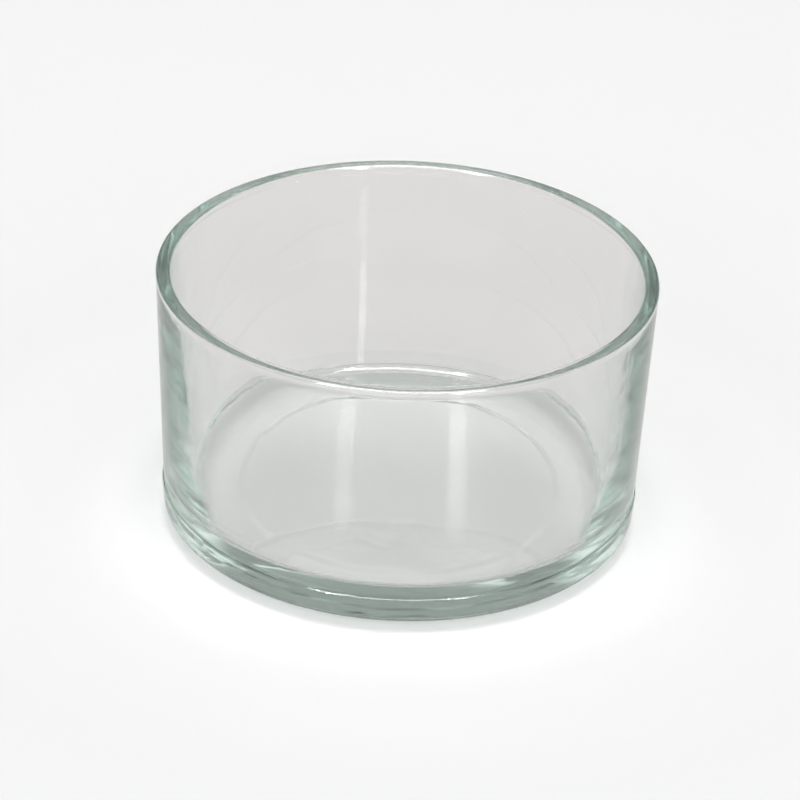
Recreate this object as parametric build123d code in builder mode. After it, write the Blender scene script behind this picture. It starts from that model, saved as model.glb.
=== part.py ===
from build123d import *
import os

# A floating candle bowl: one piece of clear pressed glass, a short open cylinder with a thick base.
# All lengths are millimetres. The bowl stands on the XY plane with its axis on +Z,
# and its origin is the middle of the ring that it rests on.

# Outside of the wall
rim_diameter = 127.0        # across the mouth, outside
bowl_height = 69.0          # from the resting ring to the top of the rim
seam_diameter = 121.9       # across the wall where it meets the mould seam, so the wall leans out a little

# Foot band, the part of the outside that the mould's bottom plate forms
seam_height = 8.9           # the seam above the resting ring
seam_step = 0.35            # how far the band stands proud of the wall at the seam, with a shoulder as round
band_lean = 0.35            # how far the band draws in from the seam down to the heel
heel_height = 4.3           # the rounded outer corner under the band, measured up
heel_width = 10.0           # and measured in towards the axis

# Rim, a soft bead that is a little thicker than the wall just under it
rim_wall = 3.7              # thickness of the bead
rim_rounding = 0.9          # rounding of its outer edge
lip_rounding = 1.1          # rounding of its inner edge
neck_wall = 3.15            # wall thickness under the bead
neck_drop = 3.4             # how far that thinnest place lies under the top

# Inside, where the wall thickens all the way down
waist_wall = 4.9            # wall thickness where the inside begins to curve in towards the floor
waist_height = 30.0         # height of that place
foot_wall = 6.3             # wall thickness level with the floor
floor_height = 10.1         # the inside floor above the resting ring
floor_fillet = 2.2          # hollow corner between floor and wall

# Underside
ring_width = 7.8            # the flat resting ring, from the rounded corner in to the recess
recess_depth = 0.25         # the shallow recess inside the ring
recess_slope = 1.8          # width of the sloping edge of the recess
recess_rounding = 0.6       # rounding where the slope meets the flats

# Places worked out from the sizes above
rim_radius = rim_diameter / 2
lip_radius = rim_radius - rim_wall
lip_height = bowl_height - lip_rounding
neck_height = bowl_height - neck_drop
seam_radius = seam_diameter / 2
band_radius = seam_radius + seam_step
heel_radius = band_radius - band_lean
resting_radius = heel_radius - heel_width
well_radius = seam_radius - foot_wall
recess_radius = resting_radius - ring_width
outer_slope = (rim_radius - seam_radius) / (bowl_height - seam_height)
neck_radius = seam_radius + outer_slope * (neck_height - seam_height) - neck_wall
waist_radius = seam_radius + outer_slope * (waist_height - seam_height) - waist_wall
inner_slope = (neck_radius - waist_radius) / (neck_height - waist_height)
well_slope = 2 * (waist_radius - well_radius) / (waist_height - floor_height) - inner_slope
throat_handle = (lip_height - neck_height) / 2
foot_handle = (waist_height - floor_height) / 3

os.makedirs("parts", exist_ok=True)


# Glass bowl: the half section on one side of the axis, turned once round it
with BuildPart() as glass_bowl:
    with BuildSketch(Plane.XZ) as section:
        with BuildLine() as outline:
            ceiling = Line((0, recess_depth), (recess_radius - recess_slope, recess_depth))
            slope = Line(ceiling @ 1, (recess_radius, 0))
            resting_ring = Line(slope @ 1, (resting_radius, 0))
            heel = EllipticalCenterArc(
                center=(resting_radius, heel_height),
                x_radius=heel_width,
                y_radius=heel_height,
                start_angle=270,
                arc_size=90,
            )
            Line(heel @ 1, (band_radius, seam_height))
            shoulder = CenterArc(
                center=(seam_radius, seam_height),
                radius=seam_step,
                start_angle=0,
                arc_size=90,
            )
            outer_wall = Line(shoulder @ 1, (rim_radius, bowl_height))
            rim = Line(outer_wall @ 1, (lip_radius + lip_rounding, bowl_height))
            lip = TangentArc(rim @ 1, (lip_radius, lip_height), tangent=rim % 1)
            throat = Bezier(
                lip @ 1,
                (lip_radius, lip_height - throat_handle),
                (neck_radius + inner_slope * throat_handle, neck_height + throat_handle),
                (neck_radius, neck_height),
            )
            inner_wall = Line(throat @ 1, (waist_radius, waist_height))
            foot = Bezier(
                inner_wall @ 1,
                (waist_radius - inner_slope * foot_handle, waist_height - foot_handle),
                (well_radius + well_slope * foot_handle, floor_height + foot_handle),
                (well_radius, floor_height),
            )
            floor = Line(foot @ 1, (0, floor_height))
            Line(floor @ 1, ceiling @ 0)
        make_face()
        fillet(section.vertices().sort_by_distance(outer_wall @ 1)[0], radius=rim_rounding)
        fillet(section.vertices().sort_by_distance(foot @ 1)[0], radius=floor_fillet)
        slope_corners = [
            section.vertices().sort_by_distance(ceiling @ 1)[0],
            section.vertices().sort_by_distance(slope @ 1)[0],
        ]
        fillet(slope_corners, radius=recess_rounding)
    revolve(axis=Axis.Z)

glass_bowl.part.label = "glass_bowl"
export_step(glass_bowl.part, "parts/glass_bowl.step")
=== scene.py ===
import math

import bpy
import numpy as np
from mathutils import Matrix, Vector


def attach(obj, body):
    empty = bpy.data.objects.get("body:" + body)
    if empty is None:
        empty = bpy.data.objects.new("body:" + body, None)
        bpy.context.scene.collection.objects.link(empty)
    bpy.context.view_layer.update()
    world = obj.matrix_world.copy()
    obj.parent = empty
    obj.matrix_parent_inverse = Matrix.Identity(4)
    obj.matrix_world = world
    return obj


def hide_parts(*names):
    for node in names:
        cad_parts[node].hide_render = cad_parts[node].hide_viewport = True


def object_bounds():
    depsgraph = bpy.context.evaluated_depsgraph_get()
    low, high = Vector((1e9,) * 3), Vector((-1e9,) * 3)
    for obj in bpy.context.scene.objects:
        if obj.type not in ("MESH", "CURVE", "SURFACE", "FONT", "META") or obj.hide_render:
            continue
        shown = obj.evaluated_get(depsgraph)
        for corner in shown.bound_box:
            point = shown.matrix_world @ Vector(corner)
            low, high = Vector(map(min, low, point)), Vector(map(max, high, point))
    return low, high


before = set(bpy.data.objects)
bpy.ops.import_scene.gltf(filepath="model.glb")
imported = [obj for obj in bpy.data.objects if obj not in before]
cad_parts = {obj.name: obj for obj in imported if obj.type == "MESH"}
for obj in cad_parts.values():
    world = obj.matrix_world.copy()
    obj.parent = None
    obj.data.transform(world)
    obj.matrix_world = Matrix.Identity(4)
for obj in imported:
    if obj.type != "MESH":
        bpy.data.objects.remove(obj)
cad_low, cad_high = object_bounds()

# Sizes of the bowl, in metres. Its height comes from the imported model.
MM = 0.001
BOWL_HEIGHT = cad_high.z
RIM_DIAMETER = 127.0 * MM
SEAM_DIAMETER = 121.9 * MM
RIM_ROUNDING = 0.9 * MM
LIP_ROUNDING = 1.1 * MM
SEAM_HEIGHT = 8.9 * MM
SEAM_STEP = 0.35 * MM
SHOULDER_SWEEP = math.radians(35)
BAND_LEAN = 0.35 * MM
HEEL_HEIGHT = 4.3 * MM
HEEL_WIDTH = 10.0 * MM
RIM_WALL = 3.7 * MM
NECK_WALL = 3.15 * MM
NECK_DROP = 3.4 * MM
FOOT_WALL = 6.3 * MM
WAIST_HEIGHT = 30.0 * MM
WAIST_WALL = 4.9 * MM
FLOOR_HEIGHT = 10.1 * MM
FLOOR_FILLET = 2.2 * MM
RING_WIDTH = 7.8 * MM
RECESS_DEPTH = 0.25 * MM
RECESS_SLOPE = 1.8 * MM
RECESS_ROUNDING = 0.6 * MM

RIM_RADIUS = RIM_DIAMETER / 2
LIP_RADIUS = RIM_RADIUS - RIM_WALL
SEAM_RADIUS = SEAM_DIAMETER / 2
BAND_RADIUS = SEAM_RADIUS + SEAM_STEP
HEEL_RADIUS = BAND_RADIUS - BAND_LEAN
RESTING_RADIUS = HEEL_RADIUS - HEEL_WIDTH
WELL_RADIUS = SEAM_RADIUS - FOOT_WALL
RECESS_RADIUS = RESTING_RADIUS - RING_WIDTH
WALL_LEAN = (RIM_RADIUS - SEAM_RADIUS) / (BOWL_HEIGHT - SEAM_HEIGHT)

# How many straight steps make each part of the outline, and one turn round the axis
RECESS_STEPS = 30
SLOPE_STEPS = 5
RING_STEPS = 5
HEEL_STEPS = 24
BAND_STEPS = 4
SHOULDER_STEPS = 12
WALL_STEPS = 40
RIM_STEPS = 14
RIM_TOP_STEPS = 3
LIP_STEPS = 12
THROAT_STEPS = 16
INNER_WALL_STEPS = 20
FOOT_STEPS = 40
CORNER_STEPS = 20
FLOOR_STEPS = 36
TURN_STEPS = 256

# The outline has a point this near to each crease of the seam, so that the shading stays crisp there
CREASE_GAP = 0.04 * MM
# The foot's bend stops this far above the rounded corner of the floor
FOOT_GAP = 0.3 * MM


# Section of the glass
def straight(start, end, steps):
    """Points from start to end, without the start."""
    a, b = np.array(start), np.array(end)
    return [tuple(a + (b - a) * k / steps) for k in range(1, steps + 1)]


def rounded(before, corner, after, radius, steps):
    """An arc of the given radius that rounds the corner between two straight runs."""
    a, c, b = np.array(before), np.array(corner), np.array(after)
    u, v = (a - c) / np.linalg.norm(a - c), (b - c) / np.linalg.norm(b - c)
    half = math.acos(float(np.clip(u @ v, -1, 1))) / 2
    middle = c + (u + v) / np.linalg.norm(u + v) * radius / math.sin(half)
    start, end = c + u * radius / math.tan(half), c + v * radius / math.tan(half)
    p, q = start - middle, end - middle
    turn = math.acos(float(np.clip(p @ q / radius ** 2, -1, 1)))
    points = []
    for k in range(steps + 1):
        share = k / steps
        spoke = math.sin((1 - share) * turn) * p + math.sin(share * turn) * q
        points.append(tuple(middle + spoke / math.sin(turn)))
    return points


def bend(start, leave, arrive, end, steps):
    """A smooth bend from start to end, without the start, that leaves and arrives along its two handles."""
    a, b, c, d = (np.array(point) for point in (start, leave, arrive, end))
    points = []
    for t in np.linspace(0, 1, steps + 1)[1:]:
        u = 1 - t
        points.append(tuple(u ** 3 * a + 3 * u * u * t * b + 3 * u * t * t * c + t ** 3 * d))
    return points


def quarter_turn(steps):
    """Angles from 0 to 90 degrees."""
    return np.linspace(0, math.pi / 2, steps + 1)


def outside(height):
    """Radius of the outside of the wall at a height."""
    return SEAM_RADIUS + WALL_LEAN * (height - SEAM_HEIGHT)


def underside():
    """Recess, resting ring and heel, from the axis out to the foot band."""
    centre = (0.0, RECESS_DEPTH)
    slope_in = (RECESS_RADIUS - RECESS_SLOPE, RECESS_DEPTH)
    slope_out = (RECESS_RADIUS, 0.0)
    resting = (RESTING_RADIUS, 0.0)
    slope_start = rounded(centre, slope_in, slope_out, RECESS_ROUNDING, SLOPE_STEPS)
    slope_end = rounded(slope_in, slope_out, resting, RECESS_ROUNDING, SLOPE_STEPS)
    heel = [
        (RESTING_RADIUS + HEEL_WIDTH * math.sin(t), HEEL_HEIGHT * (1 - math.cos(t)))
        for t in quarter_turn(HEEL_STEPS)
    ]
    points = [centre] + straight(centre, slope_start[0], RECESS_STEPS)[:-1] + slope_start + slope_end
    return points + straight(slope_end[-1], resting, RING_STEPS)[:-1] + heel


def seam_shoulder():
    """The shallow arc on top of the foot band, where it steps in to the wall."""
    half_sweep = SHOULDER_SWEEP / 2
    half_chord = SEAM_STEP / math.sqrt(2)
    radius = half_chord / math.sin(half_sweep)
    inward = (radius * math.cos(half_sweep) - half_chord) / math.sqrt(2)
    middle = (SEAM_RADIUS - inward, SEAM_HEIGHT - inward)
    first, last = math.pi / 4 - half_sweep, math.pi / 4 + half_sweep
    return [
        (middle[0] + radius * math.cos(t), middle[1] + radius * math.sin(t))
        for t in np.linspace(first, last, SHOULDER_STEPS + 1)
    ]


def foot_band():
    """From the top of the heel up over the seam to the foot of the wall."""
    heel_top = (HEEL_RADIUS, HEEL_HEIGHT)
    below_seam = (BAND_RADIUS, SEAM_HEIGHT - CREASE_GAP)
    above_seam = SEAM_HEIGHT + SEAM_STEP + CREASE_GAP
    wall_foot = (outside(above_seam), above_seam)
    return straight(heel_top, below_seam, BAND_STEPS) + seam_shoulder() + [wall_foot]


def rim():
    """The bead: its outer rounding, flat top and inner rounding."""
    seam_top = (SEAM_RADIUS, SEAM_HEIGHT + SEAM_STEP)
    outer_corner = (RIM_RADIUS, BOWL_HEIGHT)
    inner_corner = (LIP_RADIUS, BOWL_HEIGHT)
    outer_edge = rounded(seam_top, outer_corner, inner_corner, RIM_ROUNDING, RIM_STEPS)
    top = straight(outer_edge[-1], (LIP_RADIUS + LIP_ROUNDING, BOWL_HEIGHT), RIM_TOP_STEPS)
    inner_edge = [
        (LIP_RADIUS + LIP_ROUNDING * (1 - math.sin(t)), BOWL_HEIGHT - LIP_ROUNDING * (1 - math.cos(t)))
        for t in quarter_turn(LIP_STEPS)[1:]
    ]
    return outer_edge + top + inner_edge


def inside():
    """From the end of the lip down the inner wall and round the corner to the middle of the floor."""
    lip_end = (LIP_RADIUS, BOWL_HEIGHT - LIP_ROUNDING)
    neck = (outside(BOWL_HEIGHT - NECK_DROP) - NECK_WALL, BOWL_HEIGHT - NECK_DROP)
    waist = (outside(WAIST_HEIGHT) - WAIST_WALL, WAIST_HEIGHT)
    well = (WELL_RADIUS, FLOOR_HEIGHT)
    middle = (0.0, FLOOR_HEIGHT)

    wall_slope = (neck[0] - waist[0]) / (neck[1] - waist[1])
    reach = (lip_end[1] - neck[1]) / 2
    throat_leave = (lip_end[0], lip_end[1] - reach)
    throat_arrive = (neck[0] + wall_slope * reach, neck[1] + reach)
    throat = bend(lip_end, throat_leave, throat_arrive, neck, THROAT_STEPS)

    foot_slope = 2 * (waist[0] - well[0]) / (waist[1] - well[1]) - wall_slope
    handle = (waist[1] - well[1]) / 3
    foot_leave = (waist[0] - wall_slope * handle, waist[1] - handle)
    foot_arrive = (well[0] + foot_slope * handle, well[1] + handle)
    corner = rounded(foot_arrive, well, middle, FLOOR_FILLET, CORNER_STEPS)
    foot = bend(waist, foot_leave, foot_arrive, well, FOOT_STEPS)
    foot = [point for point in foot if point[1] > corner[0][1] + FOOT_GAP]

    points = throat + straight(throat[-1], waist, INNER_WALL_STEPS) + foot + corner
    return points + straight(corner[-1], middle, FLOOR_STEPS)


def section():
    """The whole outline, from the middle of the underside round the rim to the middle of the floor."""
    points = underside() + foot_band()
    bead = rim()
    points += straight(points[-1], bead[0], WALL_STEPS)[:-1] + bead + inside()
    return np.array(points)


def turned(radii, heights):
    """The given places or directions of the section, repeated at every step round Z."""
    turn = np.linspace(0, 2 * math.pi, TURN_STEPS, endpoint=False)
    r = radii[:, None]
    z = np.broadcast_to(heights[:, None], (len(heights), TURN_STEPS))
    places = np.stack([r * np.cos(turn), r * np.sin(turn), z], axis=2)
    return [tuple(place) for place in places.reshape(-1, 3)]


def revolve(name, outline):
    """A closed mesh made by turning the outline round Z, with smooth normals from the outline itself."""
    rings = outline[1:-1]
    points = [(0.0, 0.0, outline[0, 1])] + turned(rings[:, 0], rings[:, 1]) + [(0.0, 0.0, outline[-1, 1])]
    first, last = 0, len(points) - 1
    starts = [1 + i * TURN_STEPS for i in range(len(rings))]
    faces = []
    for k in range(TURN_STEPS):
        n = (k + 1) % TURN_STEPS
        faces.append((first, starts[0] + n, starts[0] + k))
        for a, b in zip(starts[:-1], starts[1:]):
            faces.append((a + k, a + n, b + n, b + k))
        faces.append((starts[-1] + k, starts[-1] + n, last))
    mesh = bpy.data.meshes.new(name)
    mesh.from_pydata(points, [], faces)
    mesh.polygons.foreach_set("use_smooth", [True] * len(mesh.polygons))
    mesh.update()

    step = np.diff(outline, axis=0)
    across = np.stack([step[:, 1], -step[:, 0]], axis=1)
    across /= np.linalg.norm(across, axis=1)[:, None]
    at_point = across[:-1] + across[1:]
    at_point /= np.linalg.norm(at_point, axis=1)[:, None]
    normals = [(0.0, 0.0, -1.0)] + turned(at_point[:, 0], at_point[:, 1]) + [(0.0, 0.0, 1.0)]
    mesh.normals_split_custom_set_from_vertices(normals)

    thing = bpy.data.objects.new(name, mesh)
    bpy.context.scene.collection.objects.link(thing)
    return thing


# Clear pressed glass: a green tint in its depth, smudges, and soft waves drawn out along the height.
# Waves are noise scale, stretch along the height and detail, and reliefs are depths in metres.
GLASS_COLOUR = (1.0, 1.0, 1.0, 1.0)
GLASS_IOR = 1.52
TINT_COLOUR = (0.40, 0.527, 0.469, 1.0)
TINT_DENSITY = 12.0
SMUDGE_WAVES = (35.0, 1.0, 5.0)
SMUDGE_NOISE = (0.35, 0.65)
SMUDGE_ROUGHNESS = (0.015, 0.05)
BROAD_WAVES = (45.0, 2.5, 1.0)
BROAD_RELIEF = 0.2 * MM
FINE_WAVES = (170.0, 1.5, 2.0)
FINE_RELIEF = 0.02 * MM


def glass_material():
    material = bpy.data.materials.new("clear_pressed_glass")
    material.use_nodes = True
    nodes, links = material.node_tree.nodes, material.node_tree.links
    nodes.clear()
    out = nodes.new("ShaderNodeOutputMaterial")
    glass = nodes.new("ShaderNodeBsdfPrincipled")
    glass.inputs["Base Color"].default_value = GLASS_COLOUR
    glass.inputs["Transmission Weight"].default_value = 1.0
    glass.inputs["IOR"].default_value = GLASS_IOR
    links.new(glass.outputs["BSDF"], out.inputs["Surface"])
    tint = nodes.new("ShaderNodeVolumeAbsorption")
    tint.inputs["Color"].default_value = TINT_COLOUR
    tint.inputs["Density"].default_value = TINT_DENSITY
    links.new(tint.outputs["Volume"], out.inputs["Volume"])
    where = nodes.new("ShaderNodeTexCoord")

    def waves(scale, stretch, detail):
        """Soft noise from 0 to 1, with its features drawn out along the bowl's height."""
        place = nodes.new("ShaderNodeMapping")
        place.inputs["Scale"].default_value = (1.0, 1.0, 1.0 / stretch)
        links.new(where.outputs["Object"], place.inputs["Vector"])
        noise = nodes.new("ShaderNodeTexNoise")
        noise.inputs["Scale"].default_value = scale
        noise.inputs["Detail"].default_value = detail
        links.new(place.outputs["Vector"], noise.inputs["Vector"])
        return noise.outputs["Fac"]

    def relief(height, depth, under=None):
        """Bump of the given depth in metres, laid over another bump."""
        bump = nodes.new("ShaderNodeBump")
        bump.inputs["Distance"].default_value = depth
        links.new(height, bump.inputs["Height"])
        if under:
            links.new(under, bump.inputs["Normal"])
        return bump.outputs["Normal"]

    smudges = nodes.new("ShaderNodeMapRange")
    smudges.inputs["From Min"].default_value, smudges.inputs["From Max"].default_value = SMUDGE_NOISE
    smudges.inputs["To Min"].default_value, smudges.inputs["To Max"].default_value = SMUDGE_ROUGHNESS
    links.new(waves(*SMUDGE_WAVES), smudges.inputs["Value"])
    links.new(smudges.outputs["Result"], glass.inputs["Roughness"])

    broad = relief(waves(*BROAD_WAVES), BROAD_RELIEF)
    fine = relief(waves(*FINE_WAVES), FINE_RELIEF, broad)
    links.new(fine, glass.inputs["Normal"])
    return material


bowl = revolve("bowl_glass", section())
bowl.data.materials.append(glass_material())
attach(bowl, "root")
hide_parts("glass_bowl")

# Floor: paler where the camera sees it directly than where it lights the glass or shows through it. The
# darker tone is painted shade on the floor seen through the glass.
FLOOR_HALF = 4.0
FLOOR_GAP = 0.3 * MM
FLOOR_ROUGHNESS = 0.9
FLOOR_GLOSS = 0.1
FLOOR_IN_GLASS = (0.768, 0.75, 0.747, 1.0)
FLOOR_SEEN = (0.95, 0.95, 0.95, 1.0)


def floor_material():
    material = bpy.data.materials.new("pale_floor")
    material.use_nodes = True
    nodes, links = material.node_tree.nodes, material.node_tree.links
    paint = nodes["Principled BSDF"]
    paint.inputs["Roughness"].default_value = FLOOR_ROUGHNESS
    paint.inputs["Specular IOR Level"].default_value = FLOOR_GLOSS
    path = nodes.new("ShaderNodeLightPath")
    # Painted shade: rays from the camera get the pale tone, and all other rays get the darker one
    tone = nodes.new("ShaderNodeMix")
    tone.data_type = "RGBA"
    tone.inputs["A"].default_value = FLOOR_IN_GLASS
    tone.inputs["B"].default_value = FLOOR_SEEN
    links.new(path.outputs["Is Camera Ray"], tone.inputs["Factor"])
    links.new(tone.outputs["Result"], paint.inputs["Base Color"])
    return material


sides = ((-1, -1), (1, -1), (1, 1), (-1, 1))
corners = [(x * FLOOR_HALF, y * FLOOR_HALF, -FLOOR_GAP) for x, y in sides]
floor_mesh = bpy.data.meshes.new("floor")
floor_mesh.from_pydata(corners, [], [(0, 1, 2, 3)])
floor = bpy.data.objects.new("floor", floor_mesh)
bpy.context.scene.collection.objects.link(floor)
floor_mesh.materials.append(floor_material())


# Lamps. Angles are in degrees, and sizes and distances in metres.
LAMP_DISTANCE = 1.55
OVERHEAD_DISTANCE = 1.5


def area_light(name, azimuth, elevation, width, height, radiance, distance=LAMP_DISTANCE):
    """A rectangular lamp that faces the bowl. Azimuth is from the camera's side, positive to the right."""
    a, e = math.radians(azimuth), math.radians(elevation)
    middle = Vector((0, 0, BOWL_HEIGHT / 2))
    outward = Vector((math.sin(a) * math.cos(e), -math.cos(a) * math.cos(e), math.sin(e)))
    data = bpy.data.lights.new(name, "AREA")
    data.shape = "RECTANGLE"
    data.size, data.size_y = width, height
    data.energy = radiance * math.pi * width * height
    lamp = bpy.data.objects.new(name, data)
    bpy.context.scene.collection.objects.link(lamp)
    lamp.location = middle + distance * outward
    lamp.rotation_mode = "QUATERNION"
    lamp.rotation_quaternion = (middle - lamp.location).to_track_quat("-Z", "Y")
    return lamp


def mirrored_lamp(name, **settings):
    """A lamp that only shows where it is mirrored in the glass, so it casts no hard shadow."""
    lamp = area_light(name, **settings)
    lamp.visible_diffuse = False
    lamp.visible_transmission = False


area_light("overhead_softbox", azimuth=0, elevation=90, width=1.6, height=1.6, radiance=0.86,
           distance=OVERHEAD_DISTANCE)
mirrored_lamp("front_bar", azimuth=0, elevation=68, width=1.4, height=0.8, radiance=12.0)
mirrored_lamp("left_lamp", azimuth=-36.0, elevation=43.5, width=0.21, height=0.122, radiance=280.0)
mirrored_lamp("right_lamp", azimuth=34.3, elevation=43.8, width=0.18, height=0.122, radiance=115.0)
low_lamp = area_light("low_lamp", azimuth=24.0, elevation=17.3, width=0.09, height=0.28, radiance=250.0)
low_lamp.visible_diffuse = False

# Light from all round: the level at the horizon, then pairs of a height in degrees and the level above it
SIDE_LEVELS = (0.17, (14, 0.6), (29.5, 1.8))
BEHIND_LEVELS = (0.12, (14, 0.17), (25, 0.58), (36, 1.85))
FRONT_LEVELS = (0.13, (22, 2.96))
TOP_START = 45
TOP_LEVEL = 0.18
SEEN_LEVEL = 1.0
STEP_SOFTNESS = 2.5
# The sides turn into the front, and into the back, between these cosines of the angle to straight ahead
TURN_COSINES = (0.62, 0.80)
WHITE = (1.0, 1.0, 1.0, 1.0)


def studio_world():
    """Soft light, bright from 30 to 45 degrees up, dim below and above, and white for the camera."""
    world = bpy.data.worlds.new("studio")
    bpy.context.scene.world = world
    world.use_nodes = True
    nodes, links = world.node_tree.nodes, world.node_tree.links
    nodes.clear()

    def node(kind, operation=None, **inputs):
        """A node with its inputs set or linked. An input's name is n and its number, or its own name."""
        made = nodes.new(kind)
        if operation:
            made.operation = operation
        for name, value in inputs.items():
            socket = made.inputs[int(name[1:])] if name[0] == "n" else made.inputs[name]
            if isinstance(value, bpy.types.NodeSocket):
                links.new(value, socket)
            else:
                socket.default_value = value
        return made

    def ramp(where, low, high):
        """A soft step from 0 to 1 between low and high."""
        made = node("ShaderNodeMapRange", n0=where, n1=low, n2=high, n3=0.0, n4=1.0)
        made.interpolation_type = "SMOOTHSTEP"
        return made.outputs["Result"]

    def above(height):
        """1 where the light comes from above a height in degrees, and 0 below it."""
        low, high = math.radians(height - STEP_SOFTNESS), math.radians(height + STEP_SOFTNESS)
        return ramp(up, math.sin(low), math.sin(high))

    def blend(share, first, second):
        return node("ShaderNodeMix", n0=share, n2=first, n3=second).outputs["Result"]

    def stairs(level, *steps):
        """A level that changes at each step's height."""
        for height, following in steps:
            level = blend(above(height), level, following)
        return level

    way = node("ShaderNodeTexCoord").outputs["Generated"]
    part = node("ShaderNodeSeparateXYZ", n0=way)
    up = part.outputs["Z"]
    flat = node("ShaderNodeCombineXYZ", n0=part.outputs["X"], n1=part.outputs["Y"]).outputs["Vector"]
    reach = node("ShaderNodeVectorMath", "LENGTH", n0=flat).outputs["Value"]
    ahead = node("ShaderNodeMath", "DIVIDE", n0=part.outputs["Y"], n1=reach).outputs["Value"]
    near_cosine, far_cosine = TURN_COSINES
    side, behind, front = stairs(*SIDE_LEVELS), stairs(*BEHIND_LEVELS), stairs(*FRONT_LEVELS)
    level = blend(ramp(ahead, -far_cosine, -near_cosine), front, side)
    level = blend(ramp(ahead, near_cosine, far_cosine), level, behind)
    level = blend(above(TOP_START), level, TOP_LEVEL)
    level = blend(node("ShaderNodeLightPath").outputs["Is Camera Ray"], level, SEEN_LEVEL)
    light = node("ShaderNodeBackground", Color=WHITE, Strength=level)
    node("ShaderNodeOutputWorld", Surface=light.outputs["Background"])


studio_world()

# Camera, at the photograph's viewing angle
FRAME_PIXELS = 800
FOCAL_PIXELS = 3966.0
CENTRE_RIGHT_PIXELS = 2.9
CENTRE_UP_PIXELS = 10.8
SENSOR_WIDTH = 36.0
CAMERA_DISTANCE = 1.016
CAMERA_ELEVATION = math.radians(29.12)
CAMERA_ROLL = math.radians(2.4535)
CLIP_START, CLIP_END = 0.05, 50

camera_data = bpy.data.cameras.new("camera")
camera_data.sensor_width = SENSOR_WIDTH
camera_data.lens = FOCAL_PIXELS * SENSOR_WIDTH / FRAME_PIXELS
camera_data.clip_start, camera_data.clip_end = CLIP_START, CLIP_END
camera = bpy.data.objects.new("camera", camera_data)
bpy.context.scene.collection.objects.link(camera)
bpy.context.scene.camera = camera
centre = Vector((0, 0, BOWL_HEIGHT / 2))
back = Vector((0, -math.cos(CAMERA_ELEVATION), math.sin(CAMERA_ELEVATION)))
look = (-back).to_track_quat("-Z", "Y").to_matrix().to_4x4()
tilt = Matrix.Rotation(-math.atan(CENTRE_UP_PIXELS / FOCAL_PIXELS), 4, "X")
pan = Matrix.Rotation(math.atan(CENTRE_RIGHT_PIXELS / FOCAL_PIXELS), 4, "Y")
roll = Matrix.Rotation(CAMERA_ROLL, 4, "Z")
camera.matrix_world = Matrix.Translation(centre + back * CAMERA_DISTANCE) @ look @ roll @ pan @ tilt

# Light crosses many faces of the glass before it leaves it
LIGHT_BOUNCES = 96

view = bpy.context.scene.view_settings
view.view_transform = "Standard"
view.look = "None"
cycles = bpy.context.scene.cycles
cycles.max_bounces = LIGHT_BOUNCES
cycles.transmission_bounces = LIGHT_BOUNCES
cycles.glossy_bounces = LIGHT_BOUNCES
cycles.blur_glossy = 0.0
